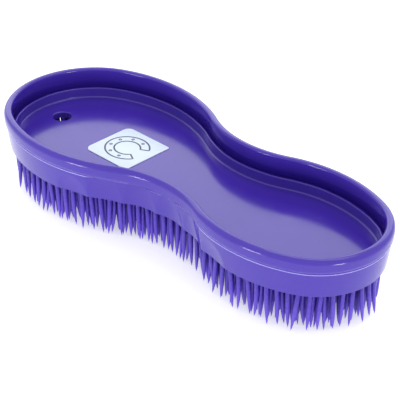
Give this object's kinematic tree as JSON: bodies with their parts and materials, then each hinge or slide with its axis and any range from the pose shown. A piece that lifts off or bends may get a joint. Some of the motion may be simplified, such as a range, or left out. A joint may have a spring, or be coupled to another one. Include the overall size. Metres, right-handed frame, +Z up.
{
  "type": "curry comb",
  "caption": "Palm-held grooming brush with a waisted rolled-rim shell, a shallow recess with a hanging hole, and soft tapered bristles underneath.",
  "frame": {"origin": "middle of the length and width, on the plane of the bristle tips", "axes": "+X from the large lobe with the hanging hole to the small lobe, +Y to the back of the brush, +Z up from the bristle tips to the rim"},
  "size_m": [0.185, 0.0764, 0.0334],
  "materials": {
    "shell": "violet-blue injection-moulded plastic, glossy with soft streaks",
    "tray": "violet-blue moulded plastic, polished floor with a soft reflection",
    "bristles": "soft flexible violet-blue plastic with a satin surface",
    "label": "thin pale blue printed film, satin"
  },
  "bodies": {
    "root": {"shell": "shell", "bristle_tray": "tray", "label": "label", "edge_bristles_small_end": "bristles", "edge_bristles_large_end": "bristles", "edge_bristles_back_small_flank": "bristles", "edge_bristles_back_waist": "bristles", "edge_bristles_back_large_flank": "bristles", "edge_bristles_front_small_flank": "bristles", "edge_bristles_front_waist": "bristles", "edge_bristles_front_large_flank": "bristles", "bristle_row_01": "bristles", "bristle_row_02": "bristles", "bristle_row_03": "bristles", "bristle_row_04": "bristles", "bristle_row_05": "bristles", "bristle_row_06": "bristles", "bristle_row_07": "bristles", "bristle_row_08": "bristles", "bristle_row_09": "bristles", "bristle_row_10": "bristles", "bristle_row_11": "bristles", "bristle_row_12": "bristles", "bristle_row_13": "bristles", "bristle_row_14": "bristles", "bristle_row_15": "bristles", "bristle_row_16": "bristles", "bristle_row_17": "bristles", "bristle_row_18": "bristles", "bristle_row_19": "bristles", "bristle_row_20": "bristles", "bristle_row_21": "bristles", "bristle_row_22": "bristles", "bristle_row_23": "bristles", "bristle_row_24": "bristles", "bristle_row_25": "bristles", "bristle_row_26": "bristles", "bristle_row_27": "bristles", "bristle_row_28": "bristles", "bristle_row_29": "bristles", "bristle_row_30": "bristles", "bristle_row_31": "bristles", "bristle_row_32": "bristles", "bristle_row_33": "bristles", "bristle_row_34": "bristles", "bristle_row_35": "bristles", "bristle_row_36": "bristles", "bristle_row_37": "bristles", "bristle_row_38": "bristles", "bristle_row_39": "bristles", "bristle_row_40": "bristles", "bristle_row_41": "bristles"}
  },
  "joints": []
}
